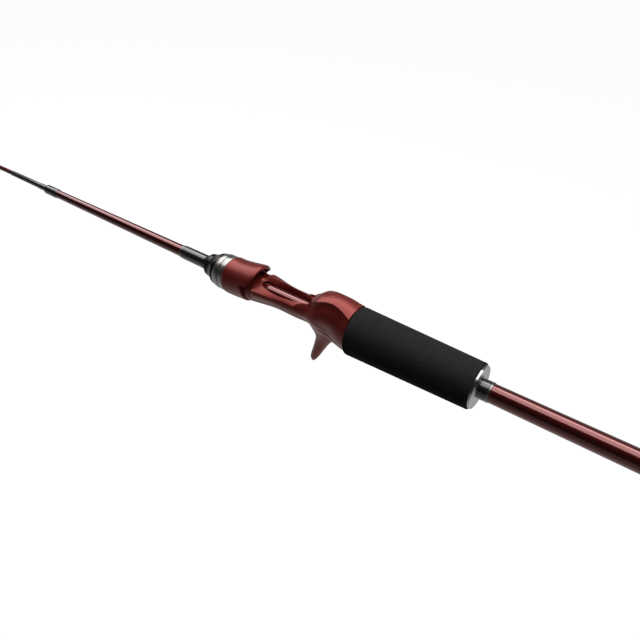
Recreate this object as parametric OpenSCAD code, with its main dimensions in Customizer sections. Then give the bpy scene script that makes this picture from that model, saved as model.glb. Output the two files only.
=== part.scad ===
// Two-piece casting rod with a trigger reel seat and a split foam grip.
// The rod axis is the X axis: the butt end face is at x = 0 and the tip points to +X.
// +Z is the side that carries the reel and the line guides; the trigger hangs to -Z.

/* [Rod] */
// Length of the whole rod, butt end to tip-top
rod_len = 1980; // [1850:10:2200]
// Length of the butt section, butt end to the socket mouth
butt_len = 562; // [540:1:620]
// Blank diameter at the butt end
blank_d_butt = 11; // [10.4:0.1:11.6]
// Blank diameter where it leaves the main grip
blank_d_grip = 10; // [9.4:0.1:10.3]
// Blank diameter at the socket mouth
blank_d_mouth = 6.1; // [5.9:0.1:6.8]
// Wall of the butt blank
blank_wall = 1.3; // [0.9:0.1:1.3]
// Gap that the glue fills between the blank and a sleeve on it
glue_gap = 0.05; // [0.02:0.01:0.1]

/* [Tip section] */
// Tip blank diameter just outside the socket
tip_d_base = 4; // [3.6:0.1:4.2]
// Tip blank diameter past the joint wraps
tip_d_knee = 3.5; // [3:0.1:3.6]
// Tip blank diameter at the tip
tip_d_end = 1.7; // [1.5:0.1:2.2]
// Wall of the tip blank
tip_wall = 0.5; // [0.4:0.05:0.6]
// Length of the plug that goes into the socket
plug_len = 50; // [35:1:65]
// Plug diameter at the mouth
plug_d_mouth = 4.4; // [4.2:0.1:4.5]
// Plug diameter at its inner end
plug_d_end = 3.9; // [3.6:0.1:4.1]
// Radial clearance of the plug in its socket
plug_gap = 0.05; // [0.03:0.01:0.1]
// Bare plug left showing between the mouth and the first tip wrap
plug_show = 1.5; // [1:0.5:4]

/* [Grips] */
// Length of the butt cap
cap_len = 12; // [9:0.5:18]
// Diameter of the butt cap
cap_d = 29; // [27:0.5:31]
// Diameter of the flat on the end of the cap
cap_flat_d = 21; // [16:0.5:22]
// Thickness of the metal ring ahead of the cap
cap_ring_t = 2.5; // [1.5:0.5:4]
// Position of the front end of the rear grip
rear_grip_front = 95; // [80:1:120]
// Diameter of the rear grip at the cap ring
rear_grip_d = 29; // [27:0.5:31]
// Diameter of the rear grip at its front end
rear_grip_front_d = 22; // [20:0.5:26]
// Length of the metal cone ahead of the rear grip
rear_cone_len = 6; // [4:0.5:10]
// Length of the main grip
grip_len = 71.5; // [60:0.5:90]
// Main grip diameter behind the reel seat
grip_front_d = 28.1; // [27:0.1:29]
// Main grip diameter at its rear end
grip_rear_d = 24.8; // [24:0.1:27]
// Rounding of the grip edges
grip_round = 1.2; // [0.6:0.1:2]
// Thickness of the metal disc on the main grip's rear face
disc_t = 1.2; // [0.8:0.1:2]
// Rim of foam left showing round that disc
disc_rim = 0.9; // [0.5:0.1:2]

/* [Trim] */
// Length of the black wrap behind the main grip
rear_wrap_len = 4.7; // [3:0.1:12]
// Length of the black wrap ahead of the reel seat
front_wrap_len = 21.3; // [12:0.1:30]
// Width of each metal trim ring on the blank
trim_w = 1.2; // [0.8:0.1:2]
// Height of a trim ring over the blank
trim_h = 0.35; // [0.2:0.05:0.6]
// Height of the wraps over the blank
wrap_h = 0.3; // [0.2:0.05:0.5]
// Length of the wrap that hoops the socket mouth
mouth_wrap_len = 13; // [8:0.5:20]
// Length of the short wrap at the foot of the tip section
base_wrap_len = 8; // [6:0.5:14]
// Length of the long wrap past it
long_wrap_len = 40; // [20:1:45]

/* [Reel seat] */
// Position of the rear face of the seat, where the main grip starts
seat_x = 270; // [262:1:290]
// Length of the seat body from that face to the barrel
body_len = 76; // [75:0.5:80]
// Radius of the body under the moving hood
body_r = 9.65; // [9.55:0.05:9.75]
// Height of the crown of the reel-foot bed over the rod axis
bed_h = 6.4; // [6.2:0.1:6.8]
// Radius of the arch of the bed at the window's rear
bed_r = 12.5; // [12:0.1:16]
// Length of the threaded barrel
barrel_len = 24.5; // [24:0.5:32]
// Barrel diameter over the thread
barrel_d = 18; // [17.6:0.1:18.2]
// Diameter of the hole for the blank
seat_bore_d = 9.8; // [9.7:0.1:10.4]
// Length of the window over the blank
window_len = 36; // [24:0.5:38]
// Width of the window
window_w = 12; // [8:0.1:12.4]
// Depth and width of the sloping lip round the window
window_lip = 1.5; // [1:0.1:2]
// Depth of the pocket in the fixed hood
pocket_depth = 15; // [12:0.5:17]
// Height of the pockets over the bed
pocket_h = 4.5; // [4.3:0.1:4.8]
// Half width of the pocket in the fixed hood
pocket_half_w = 7.4; // [6.5:0.1:8]
// Depth of the scoops for thumb and palm beside the fixed hood
scoop_depth = 2.2; // [0:0.1:3]
// Depth of the trigger tip below the rod axis
trigger_depth = 37.5; // [36:0.5:40]
// Thickness of the trigger across the rod
trigger_t = 6; // [5:0.5:8]
// Length of each arbor between blank and seat
arbor_len = 20; // [12:1:24]

/* [Moving hood] */
// Length of the hood along its underside
hood_len = 16.5; // [15:0.5:20]
// How much further the visor reaches over the reel foot
visor_len = 7.2; // [4:0.1:9]
// Outer radius of the hood
hood_r = 11.6; // [11.2:0.05:11.9]
// Inner radius of the hood's skirt
skirt_r = 9.95; // [9.9:0.05:10.05]
// Height of the hood's roof over the rod axis at its rear
roof_h = 14.1; // [13.8:0.1:14.6]
// Thickness of the hood's roof
roof_t = 1.2; // [1:0.1:1.4]
// Thickness of the cushion under the roof
cushion_t = 0.6; // [0.4:0.1:0.8]
// Length of the guiding collar at the front of the hood
collar_len = 4; // [3:0.5:5]
// Radial clearance of the collar on the barrel
collar_gap = 0.25; // [0.15:0.05:0.4]
// Width of the hood's key
key_w = 2.4; // [2:0.1:3]
// How far the hood travels
hood_travel = 7; // [5:0.5:9]

/* [Lock nut] */
// Width of the metal ring on the hood's front
hood_ring_w = 3.4; // [2.5:0.1:5]
// Height of that ring over the barrel
hood_ring_h = 2.2; // [1.7:0.05:2.5]
// Width of the lock nut
nut_w = 5; // [4:0.1:7]
// Height of the lock nut over the barrel
nut_h = 2.15; // [1.5:0.05:2.4]
// Height of the nut's front edge over the barrel
nut_front_h = 1.6; // [1:0.05:1.8]
// Radial clearance of the nut on the barrel
nut_gap = 0.1; // [0.05:0.01:0.15]
// Gap between the turning nut and the pieces beside it
side_gap = 0.3; // [0.2:0.05:0.5]
// Length of the stepped black cone ahead of the nut
cone_len = 13.8; // [10:0.1:18]
// Height of the cone over the barrel, at the nut
cone_h = 1.5; // [0.5:0.05:1.7]

/* [Guides] */
// Distance of each guide from the tip, largest guide first
guide_from_tip = [1110, 905, 730, 570, 430, 305, 195, 95];
// Outer diameter of the ceramic ring in each guide
guide_size = [10, 8, 7, 6, 6, 5.5, 5.5, 5.5];
// Height of each ring's centre over the blank
guide_height = [11, 9.2, 8.2, 7, 7, 6.4, 6.4, 6.4];
// Number of guides, from the largest, that stand on two feet
two_footed = 3; // [0:1:8]
// Length of a guide foot
foot_len = 10; // [8:0.5:13]
// Thickness of a guide foot
foot_t = 0.8; // [0.6:0.1:1.1]
// Width of a guide foot
foot_w = 2; // [1.6:0.1:2.6]
// Wall of the metal hoop round a ring
hoop_wall = 0.6; // [0.4:0.1:0.9]
// Radial thickness of a ceramic ring
ring_t = 1.1; // [0.8:0.1:1.3]
// Diameter of the ring in the tip-top
tiptop_size = 5.5; // [5:0.1:7]
// Length of the tip-top's tube
tiptop_tube = 10; // [7:0.5:14]

/* [Hidden] */
guide_count = len(guide_size);
GUIDE_FRAMES = [for (i = [1:guide_count]) str("guide_", i, "_frame")];
GUIDE_RINGS = [for (i = [1:guide_count]) str("guide_", i, "_ring")];
GUIDE_WRAPS = [for (i = [1:guide_count]) str("guide_", i, "_wrap")];

round_fn = 96;
small_fn = 48;
eps = 0.01;

// Colours
burgundy = [0.30, 0.03, 0.04];
seat_red = [0.42, 0.09, 0.08];
foam = [0.07, 0.07, 0.075];
wrap_black = [0.04, 0.04, 0.045];
alloy = [0.80, 0.80, 0.82];
frame_grey = [0.30, 0.31, 0.33];
ceramic = [0.12, 0.12, 0.13];
arbor_tan = [0.72, 0.66, 0.50];

// ---- Positions along the rod, worked out from the driving sizes ----
grip_rear_x = seat_x - grip_len;
disc_x = grip_rear_x - disc_t;
rear_wrap_x = disc_x - rear_wrap_len;
rear_ring_x = rear_wrap_x - trim_w;
barrel_x = seat_x + body_len;
barrel_end = barrel_x + barrel_len;
hood_x = barrel_end - side_gap - nut_w - side_gap - hood_ring_w - hood_len;
hood_front = hood_x + hood_len;
hood_ring_x = hood_front;
nut_x = hood_ring_x + hood_ring_w + side_gap;
cone_x = barrel_end;
front_wrap_x = cone_x + cone_len;
front_ring_x = front_wrap_x + front_wrap_len;
mouth_x = butt_len;
mouth_wrap_x = mouth_x - mouth_wrap_len;
mouth_ring_x = mouth_wrap_x - trim_w;
base_wrap_x = mouth_x + plug_show;
tip_ring_x = base_wrap_x + base_wrap_len;
long_wrap_x = tip_ring_x + trim_w;
long_wrap_end = long_wrap_x + long_wrap_len;
tip_end = rod_len - 2;
cap_floor = 4;
rear_grip_x = cap_len + cap_ring_t;

// ---- Blank radii by position ----
butt_stations = [0, grip_rear_x - 10, mouth_x];
butt_table = [[butt_stations[0], blank_d_butt / 2],
              [butt_stations[1], blank_d_grip / 2],
              [butt_stations[2], blank_d_mouth / 2]];
tip_stations = [base_wrap_x, long_wrap_end + 10, rod_len];
tip_table = [[tip_stations[0], tip_d_base / 2],
             [tip_stations[1], tip_d_knee / 2],
             [tip_stations[2], tip_d_end / 2]];
function butt_r(x) = lookup(x, butt_table);
function tip_r(x) = lookup(x, tip_table);

// ---- Small tools ----
function reversed(list) = [for (i = [len(list) - 1:-1:0]) list[i]];

// Smooth curve through [x, value] stations: a cubic between each two of them.
function slope(t, i) = i == 0 ? (t[1][1] - t[0][1]) / (t[1][0] - t[0][0])
    : i == len(t) - 1 ? (t[i][1] - t[i - 1][1]) / (t[i][0] - t[i - 1][0])
    : (t[i + 1][1] - t[i - 1][1]) / (t[i + 1][0] - t[i - 1][0]);
function cubic(a, b, ma, mb, w, u) =
    (2 * u * u * u - 3 * u * u + 1) * a + (u * u * u - 2 * u * u + u) * w * ma
    + (3 * u * u - 2 * u * u * u) * b + (u * u * u - u * u) * w * mb;
function smooth_at(x, t, i = 0) =
    x <= t[0][0] ? t[0][1]
    : x >= t[len(t) - 1][0] ? t[len(t) - 1][1]
    : x > t[i + 1][0] ? smooth_at(x, t, i + 1)
    : let (w = t[i + 1][0] - t[i][0])
      cubic(t[i][1], t[i + 1][1], slope(t, i), slope(t, i + 1), w, (x - t[i][0]) / w);
function ease(u) = let (v = min(max(u, 0), 1)) v * v * (3 - 2 * v);

// Lays a section drawn as [y, z] along the rod from x0 to x1.
module along(x0, x1) {
    translate([x0, 0, 0]) rotate([90, 0, 90]) linear_extrude(height = x1 - x0) children();
}

// Outline [radius, x] turned about the rod axis.
module turned(outline) {
    rotate([0, 90, 0]) rotate_extrude($fn = round_fn) polygon(outline);
}

// Line of the blank's surface from x0 to x1 with the glue gap, as [radius, x].
function glue_line(x0, x1, table) = concat(
    [[lookup(x0, table) + glue_gap, x0]],
    [for (s = table) if (s[0] > x0 && s[0] < x1) [s[1] + glue_gap, s[0]]],
    [[lookup(x1, table) + glue_gap, x1]]);

// A turned sleeve on a blank: its outer outline runs from x0 to x1.
module sleeve(x0, x1, outer, table = butt_table) {
    turned(concat(outer, reversed(glue_line(x0, x1, table))));
}

// Wrap of thread under varnish: a sleeve of even height with rounded ends.
module thread_wrap(x0, x1, h, table = butt_table) {
    e = min(0.8, (x1 - x0) / 4);
    inner = [for (x = [x0, x0 + e, x1 - e, x1]) lookup(x, table) + glue_gap];
    sleeve(x0, x1, [[inner[0] + h * 0.35, x0], [inner[1] + h, x0 + e],
                    [inner[2] + h, x1 - e], [inner[3] + h * 0.35, x1]], table);
}

// Metal trim ring with a half-round outside.
module trim_ring(x0, table = butt_table) {
    mid = x0 + trim_w / 2;
    base = lookup(mid, table) + glue_gap;
    outer = [for (a = [-75:30:75])
        [base + trim_h * (0.35 + 0.65 * cos(a)), mid + trim_w / 2 * sin(a) / sin(75)]];
    sleeve(x0, x0 + trim_w, outer, table);
}

// Closed skin over rings of points, each ring a list with the same number of points.
module skin(rings) {
    n = len(rings[0]);
    m = len(rings);
    polyhedron(
        points = [for (ring = rings) for (p = ring) p],
        faces = concat(
            [[for (k = [0:n - 1]) k]],
            [[for (k = [n - 1:-1:0]) (m - 1) * n + k]],
            [for (j = [0:m - 2]) for (k = [0:n - 1]) each let (
                a = j * n + k, b = j * n + (k + 1) % n,
                c = (j + 1) * n + (k + 1) % n, d = (j + 1) * n + k)
                [[a, d, c], [a, c, b]]]));
}

// ---- Butt section ----
module butt_blank() {
    inner_end = mouth_x - plug_len - 1;
    socket = plug_d_mouth / 2 + plug_gap;
    socket_end = plug_d_end / 2 + plug_gap;
    color(burgundy) turned([
        [butt_r(cap_floor), cap_floor],
        [butt_r(butt_stations[1]), butt_stations[1]],
        [butt_r(mouth_x), mouth_x],
        [socket, mouth_x],
        [socket_end, inner_end],
        [min(butt_r(inner_end) - blank_wall, socket_end), inner_end],
        [butt_r(butt_stations[1]) - blank_wall, butt_stations[1]],
        [butt_r(cap_floor) - blank_wall, cap_floor]]);
}

module butt_cap() {
    edge = (cap_d - cap_flat_d) / 2;
    shoulder = [for (a = [0:15:90])
        [cap_flat_d / 2 + edge * sin(a), edge * 0.7 * (1 - cos(a))]];
    r = butt_r(cap_floor) + glue_gap;
    color(foam) turned(concat([[0, 0]], shoulder,
        [[cap_d / 2, cap_len], [butt_r(cap_len) + glue_gap, cap_len], [r, cap_floor], [0, cap_floor]]));
}

module butt_ring() {
    r = cap_d / 2 + 0.2;
    c = 0.4;
    color(alloy) sleeve(cap_len, rear_grip_x,
        [[r - c, cap_len], [r, cap_len + c], [r, rear_grip_x - c], [r - c, rear_grip_x]]);
}

module rear_grip() {
    length = rear_grip_front - rear_grip_x;
    outline = [[0, rear_grip_d / 2], [0.25, rear_grip_d / 2 - 0.6],
               [0.6, rear_grip_front_d / 2 + 0.4], [0.85, rear_grip_front_d / 2],
               [1, rear_grip_front_d / 2]];
    side = [for (u = [0:1 / 24:1]) [smooth_at(u, outline), rear_grip_x + u * length]];
    nose = [for (a = [15:15:90]) [rear_grip_front_d / 2 - grip_round * (1 - cos(a)),
                                  rear_grip_front + grip_round * sin(a)]];
    front = rear_grip_front + grip_round;
    color(foam) sleeve(rear_grip_x, front, concat(side, nose));
}

module rear_grip_cone() {
    x0 = rear_grip_front + grip_round;
    x1 = x0 + rear_cone_len;
    big = rear_grip_front_d / 2 - grip_round - 0.6;
    small = butt_r(x1) + 0.9;
    outer = [for (u = [0:0.125:1]) [small + (big - small) * pow(1 - u, 1.6), x0 + u * (x1 - x0)]];
    color(alloy) sleeve(x0, x1, outer);
}

module rear_trim_ring() color(alloy) trim_ring(rear_ring_x);

module rear_wrap() {
    color(wrap_black) thread_wrap(rear_wrap_x, disc_x, wrap_h);
}

// Dished metal disc that closes the main grip's rear face, with a short neck.
module grip_end_disc() {
    r = grip_rear_d / 2 - disc_rim;
    neck = butt_r(disc_x) + 1;
    color(alloy) sleeve(disc_x, grip_rear_x,
        [[neck, disc_x], [neck + 0.5, disc_x + disc_t * 0.35], [r * 0.75, disc_x + disc_t * 0.45],
         [r - 0.3, disc_x + disc_t * 0.2], [r, disc_x + disc_t * 0.45], [r, grip_rear_x]]);
}

module main_grip() {
    c = grip_round;
    function edge(x, r, dir) = [for (a = [0:15:90]) [r - c * (1 - sin(a)), x + dir * c * (1 - cos(a))]];
    rear = edge(grip_rear_x, grip_rear_d / 2, 1);
    front = reversed(edge(seat_x, grip_front_d / 2, -1));
    color(foam) sleeve(grip_rear_x, seat_x, concat(rear, front));
}

// ---- Reel seat ----
// All seat stations count from the seat's rear face towards the tip.
// Station of the shoulder where the moving hood's skirt stops
stop_x = hood_x - hood_travel - seat_x;
// Radius of the bed's arch: the bed grows flatter towards the moving hood.
function bed_arch(x) = bed_r + smooth_at(x, [[29, 1], [42, 0], [47, 0], [52, 1.4], [57, 4.4],
    [64.5, 12], [body_len, 16]]);
// Height of the crown of the top surface: fixed hood, saddle, then the reel-foot bed.
function crown(x) = smooth_at(x, [[0, 13.7], [4, 14.8], [11, 16.4], [18, 17.9], [22, 17.8],
    [26, 15.9], [29.5, 11.2], [32, bed_h + 3], [36, bed_h + 1.6], [42, bed_h + 1.2],
    [body_len, bed_h + 1.2]]);
// Radius of the arch of that surface
function arch(x) = smooth_at(x, [[0, 13.7], [4, 13.2], [11, 12.6], [18, 12], [22, 11.8],
    [26, 11.3], [29.5, 10], [32, 10], [36, 11.6], [42, 15], [50, 18], [57, 22], [64.5, 30],
    [body_len, 34]]);
// Radius of the underside
function belly(x) = smooth_at(x, [[0, 13.4], [4, 12.9], [11, 11.5], [17, 10.4], [22, 9.4],
    [26, 8.1], [30, 7.4], [38, 7.6], [46, 7.5], [51, 7.5], [57, 7.9], [65, 8.9],
    [71, body_r], [body_len, body_r]]);
// How far the bed's edges stand out over that radius
function wing(x) = smooth_at(x, [[0, 3], [22, 5], [27, 3.7], [31, 1.8], [35, 1.5], [40, 0.9],
    [47, 1.2], [52, 1.65], [57, 2.05], [stop_x - 4, 2.2], [stop_x - 0.6, 1.9], [stop_x - 0.3, 0],
    [body_len, 0]]);

function scoop(x, el) = scoop_depth * exp(-pow((x - 13) / 7.5, 2) - pow((el - 2) / 30, 2));

// Radius of the seat at station x and angle a: the lesser of the arched top and
// the flared sides, blended over the corner between them.
function seat_radius(x, a) = let (
    el = asin(sin(a)),
    k = crown(x) - arch(x),
    lift = k < 0 ? sin(a) : (sin(a) + sqrt(sin(a) * sin(a) + 0.15)) / 2,
    top = k * lift + sqrt(pow(arch(x), 2) - pow(k * cos(a), 2)),
    side = belly(x) + wing(x) * ease((el + 22) / 42),
    corner = 26)
    pow(pow(top, -corner) + pow(side, -corner), -1 / corner) - scoop(x, el);

seat_sides = 48;
// Where the pocket of the fixed hood opens
pocket_mouth = seat_x + 29;
seat_xs = concat([0, 2, 4.5, 7.5, 10.5, 13.5, 16.5, 19, 21, 23],
    [for (s = [24.5:1.2:34.2]) s], [for (s = [36.5:2.5:59]) s],
    [for (s = [6, 4, 2, 0.6, 0.3]) stop_x - s], [body_len - 4, body_len]);

function seat_ring(x) = [for (i = [0:seat_sides - 1]) let (
    a = 360 * i / seat_sides, r = seat_radius(x, a))
    [seat_x + x, r * cos(a), r * sin(a)]];

// Trigger edges by depth below the rod axis, as stations along the seat.
trigger_front = [[4, 34.5], [8, 32.2], [10, 30.5], [12, 28.5], [14, 27.4], [16, 27.1], [18.5, 27.4],
                 [25, 29], [31, 30.7], [34.5, 31.1], [trigger_depth, 30.4]];
trigger_rear = [[4, 10], [8, 11.2], [12, 13.3], [16, 16], [19, 18.2], [25, 21.6],
                [31, 24.8], [34.5, 26.9], [trigger_depth, 29.5]];
trigger_half = [[4, 1], [8, 0.92], [12, 0.72], [16, 0.6], [20, 0.54], [28, 0.48], [34, 0.36],
                [trigger_depth, 0.05]];
trigger_levels = [4, 6, 8, 10, 12, 14, 16, 18.5, 21.5, 25, 28, 31, 33, 34.7,
                  trigger_depth - 0.7, trigger_depth];
function trigger_ring(d) = let (
    f = smooth_at(d, trigger_front), b = smooth_at(d, trigger_rear),
    t = trigger_t * smooth_at(d, trigger_half))
    [for (i = [0:23]) let (a = 360 * i / 24)
        [seat_x + (f + b) / 2 + (f - b) / 2 * cos(a), -t * sin(a), -d]];

// The reel foot's way: an arched floor at bed height under a flat roof. It is as wide as
// the fixed hood's pocket, then opens out over the whole bed and leaves a flat on the barrel.
function way_ring(x, half_w) = let (n = 16, roof = bed_h + pocket_h, r = bed_arch(x - seat_x)) concat(
    [for (k = [0:n]) let (y = half_w * (2 * k / n - 1)) [x, y, bed_h - r + sqrt(r * r - y * y)]],
    [[x, half_w, roof], [x, -half_w, roof]]);
module foot_way() {
    wide = body_r + 2.2;
    skin([for (w = [[pocket_mouth - pocket_depth, pocket_half_w], [pocket_mouth + 4, pocket_half_w],
                    [pocket_mouth + 6, pocket_half_w + 0.4], [pocket_mouth + 8, pocket_half_w + 1.2],
                    [pocket_mouth + 10, pocket_half_w + 2.5],
                    for (u = [0:0.125:1]) [pocket_mouth + 12 + u * (barrel_x - pocket_mouth - 12), wide],
                    [barrel_end + 1, wide]]) way_ring(w[0], w[1])]);
}

// Window outline at height z, grown all round: a long oval, wider towards the tip.
window_mid = seat_x + 48.5;
function window_ring(grow, z) = [for (i = [0:47]) let (
    a = 360 * i / 48, c = cos(a), blunt = pow(abs(sin(a)) + 0.001, 0.15))
    [window_mid + (window_len / 2 + grow) * c,
     (window_w / 2 + grow) * sin(a) * (1 + 0.2 * c) * blunt, z]];

module reel_seat_body() {
    key_slot = key_w + 0.6;
    keyway_x = hood_front - collar_len - hood_travel - 1;
    barrel_r = barrel_d / 2;
    color(seat_red) difference() {
        union() {
            skin([for (x = seat_xs) seat_ring(x)]);
            skin([for (d = trigger_levels) trigger_ring(d)]);
            translate([barrel_x - eps, 0, 0]) rotate([0, 90, 0])
                cylinder(r = barrel_r, h = barrel_len + eps, $fn = round_fn);
        }
        // hole for the blank
        translate([seat_x - 1, 0, 0]) rotate([0, 90, 0])
            cylinder(d = seat_bore_d, h = body_len + barrel_len + 2, $fn = round_fn);
        // pocket of the fixed hood, and the bed
        foot_way();
        // window over the blank, with a sloping lip
        skin([window_ring(-1.2, 0), window_ring(0, 2.5), window_ring(0, bed_h - window_lip),
              window_ring(window_lip, bed_h), window_ring(window_lip, roof_h)]);
        // keyway, as long as the hood's travel
        translate([keyway_x, -key_slot / 2, -barrel_r - 1])
            cube([barrel_end - keyway_x + 1, key_slot, 2]);
    }
}

module seat_arbor(x0) {
    r = seat_bore_d / 2 - eps;
    color(arbor_tan) sleeve(x0, x0 + arbor_len, [[r, x0], [r, x0 + arbor_len]]);
}
module seat_arbor_rear() seat_arbor(seat_x + 4);
module seat_arbor_front() seat_arbor(barrel_end - arbor_len - 2);

// ---- Moving hood ----
// How far the centre of the roof's arch lies over the rod axis
roof_lift = 0.9;
// Half width of the space under the roof, and the height where it starts
roof_half_w = 8.3;
roof_low = bed_h - 1.4;
// Width of the rolled rim, and its droop outside and inside
rim_w = 2;
rim_droop = 0.6;
rim_droop_in = 0.9;
// Line of the visor's rear edge: how far it lies ahead of the rear end at height z
visor_line = [[5.2, 1], [5.6, 0.72], [6.4, 0.5], [8, 0.3], [9.6, 0.15], [11.2, 0.05], [12.6, 0.01],
              [14, 0]];
function visor_edge(z) = visor_len * lookup(z, visor_line);
// Radius of the hood's outside: round at its front, with a roof that rises rearwards
// and rolls over by that droop at the visor's edge.
function hood_radius(x, a, droop) = let (
    u = ease((hood_front - x - 3) / (hood_len + visor_len)),
    el = asin(sin(a)),
    roof_r = hood_r + (roof_h - roof_lift - hood_r) * u,
    k = roof_lift * u,
    top = k * sin(a) + sqrt(roof_r * roof_r - pow(k * cos(a), 2)),
    nose = 0.5 * pow(max(0, 1 - (hood_front - x) / 1.2), 2),
    edge = min(1, max(0, (x - hood_x + visor_len - visor_edge(roof_h * sin(a))) / rim_w)),
    tail = droop * pow(1 - edge, 2) * ease((el - 15) / 20),
    low_r = hood_r - 1.15 * u)
    low_r + (top - low_r) * ease((el + 35) / 50) - nose - tail;
function hood_section(x, inset, droop) = [for (i = [0:seat_sides - 1]) let (
    a = 360 * i / seat_sides, r = hood_radius(x, a, droop) - inset) [x, r * cos(a), r * sin(a)]];

module hood_side_cut() {
    rear = hood_x - visor_len;
    translate([0, 40, 0]) rotate([90, 0, 0]) linear_extrude(height = 80)
        polygon(concat([[rear - 20, -20], [hood_x, -20]],
                       [for (v = visor_line) [rear + visor_len * v[1], v[0]]],
                       [[rear, 20], [rear - 20, 20]]));
}

// Space under the roof, that far in from the hood's outside.
module under_roof(inset, low) {
    rear = hood_x - visor_len - 1;
    front = hood_front - collar_len - 2;
    intersection() {
        skin([for (u = [0:0.05:1]) hood_section(rear + u * (front - rear), inset, rim_droop_in)]);
        translate([rear - 1, -roof_half_w, low]) cube([front - rear + 2, 2 * roof_half_w, roof_h]);
    }
}

module moving_hood() {
    rear = hood_x - visor_len;
    step = (hood_front - 2 - hood_x) / 8;
    xs = concat([for (d = [0:0.75:visor_len]) rear + d], [for (k = [0:7]) hood_x + 0.5 + k * step],
                [hood_front - 1.2, hood_front - 0.6, hood_front - 0.2, hood_front]);
    collar_r = barrel_d / 2 + collar_gap;
    color(seat_red) {
        difference() {
            skin([for (x = xs) hood_section(x, 0, rim_droop)]);
            translate([rear - 1, 0, 0]) rotate([0, 90, 0])
                cylinder(r = skirt_r, h = hood_len + visor_len - collar_len + 1, $fn = round_fn);
            translate([rear - 1, 0, 0]) rotate([0, 90, 0])
                cylinder(r = collar_r, h = hood_len + visor_len + 2, $fn = round_fn);
            under_roof(roof_t, roof_low);
            hood_side_cut();
        }
        // key that keeps the hood from turning
        translate([hood_front - collar_len, -key_w / 2, -collar_r - 0.3])
            cube([collar_len, key_w, 1]);
    }
}

module hood_cushion() {
    color(wrap_black) difference() {
        under_roof(roof_t, roof_low + cushion_t);
        under_roof(roof_t + cushion_t, roof_low);
        hood_side_cut();
    }
}

module hood_ring() {
    r = barrel_d / 2 + hood_ring_h;
    bore = barrel_d / 2 + collar_gap;
    x1 = hood_ring_x + hood_ring_w;
    color(alloy) turned([[bore, hood_ring_x], [r - 0.2, hood_ring_x], [r, hood_ring_x + 0.3],
        [r, x1 - 0.3], [r - 0.3, x1], [bore, x1]]);
}

module lock_nut() {
    r = barrel_d / 2 + nut_h;
    front_r = barrel_d / 2 + nut_front_h;
    bore = barrel_d / 2 + nut_gap;
    groove = 0.5;
    x1 = nut_x + nut_w;
    color(alloy) turned([[bore, nut_x], [r - 0.7, nut_x], [r - 0.7, nut_x + groove],
        [r - 0.2, nut_x + groove], [r, nut_x + groove + 0.3], [r, x1 - 2.2],
        [front_r, x1 - 0.2], [front_r - 0.2, x1], [bore, x1]]);
}

// Black cone with two fine steps, from the nut down to the wrap.
module front_cone() {
    x1 = cone_x + cone_len;
    big = barrel_d / 2 + cone_h;
    small = butt_r(x1) + 0.9;
    outer = [for (p = [[0, 1], [0.14, 0.95], [0.2, 0.86], [0.26, 0.76], [0.33, 0.67], [0.42, 0.57],
                       [0.45, 0.5], [0.6, 0.46], [0.74, 0.4], [0.77, 0.3], [0.84, 0.08], [1, 0]])
        [small + (big - small) * p[1], cone_x + cone_len * p[0]]];
    color(wrap_black) sleeve(cone_x, x1, outer);
}

module front_wrap() {
    color(wrap_black) thread_wrap(front_wrap_x, front_ring_x, wrap_h + 0.2);
}
module front_trim_ring() color(alloy) trim_ring(front_ring_x);

// Hoop of thread that keeps the socket mouth from splitting.
module mouth_wrap() {
    r = butt_r(mouth_x) + wrap_h + 0.15;
    color(wrap_black) sleeve(mouth_wrap_x, mouth_x,
        [[r, mouth_wrap_x], [r + 0.15, mouth_wrap_x + 1], [r + 0.1, mouth_x - 4], [r - 0.3, mouth_x]]);
}
module mouth_trim_ring() color(alloy) trim_ring(mouth_ring_x);

// ---- Tip section ----
module tip_blank() {
    plug_x = mouth_x - plug_len;
    hole = min(plug_d_end / 2, tip_d_knee / 2) - 0.7;
    color(burgundy) turned([
        [hole, plug_x],
        [plug_d_end / 2 - 0.2, plug_x],
        [plug_d_end / 2, plug_x + 0.6],
        [plug_d_mouth / 2, mouth_x],
        [plug_d_mouth / 2, base_wrap_x],
        [tip_d_base / 2, base_wrap_x],
        [tip_d_knee / 2, tip_stations[1]],
        [tip_r(tip_end), tip_end],
        [tip_r(tip_end) - tip_wall, tip_end],
        [hole, tip_stations[1]]]);
}
module tip_base_wrap() {
    color(wrap_black) thread_wrap(base_wrap_x, tip_ring_x, wrap_h + 0.1, tip_table);
}
module tip_trim_ring() color(alloy) trim_ring(tip_ring_x, tip_table);
module tip_long_wrap() {
    color(wrap_black) thread_wrap(long_wrap_x, long_wrap_end, wrap_h * 0.6, tip_table);
}

// Ceramic ring centred on the line's path, with a straight land inside.
module ceramic_ring(size) {
    half = size * 0.11 + 0.35;
    inner = size / 2 - ring_t;
    bulge = [for (a = [-60:30:60]) [size / 2 - ring_t * 0.45 + ring_t * 0.45 * cos(a), half * sin(a)]];
    rotate([0, 90, 0]) rotate_extrude($fn = small_fn)
        polygon(concat([[inner, half * 0.35], [inner, -half * 0.35], [inner + ring_t * 0.35, -half]],
                       bulge, [[inner + ring_t * 0.35, half]]));
}

module strut(p, q, d) {
    hull() {
        translate(p) sphere(d = d, $fn = 12);
        translate(q) sphere(d = d, $fn = 12);
    }
}

// Metal hoop that holds a ceramic ring.
module hoop(size) {
    rotate([0, 90, 0]) difference() {
        cylinder(r = size / 2 + hoop_wall, h = size * 0.12 + 0.3, center = true, $fn = small_fn);
        cylinder(r = size / 2, h = size, center = true, $fn = small_fn);
    }
}

// Foot that lies along the top of the blank from x0 in direction dir.
module foot(x0, dir, z, grow = 0) {
    w = foot_w / 2 + grow;
    half = [[-0.6, w], [foot_len * 0.5, w], [foot_len + grow, w * 0.45]];
    outline = concat(half, reversed([for (p = half) [p[0], -p[1]]]));
    translate([x0, 0, z - grow]) linear_extrude(height = foot_t + 2 * grow)
        polygon([for (p = outline) [dir * p[0], p[1]]]);
}

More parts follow.
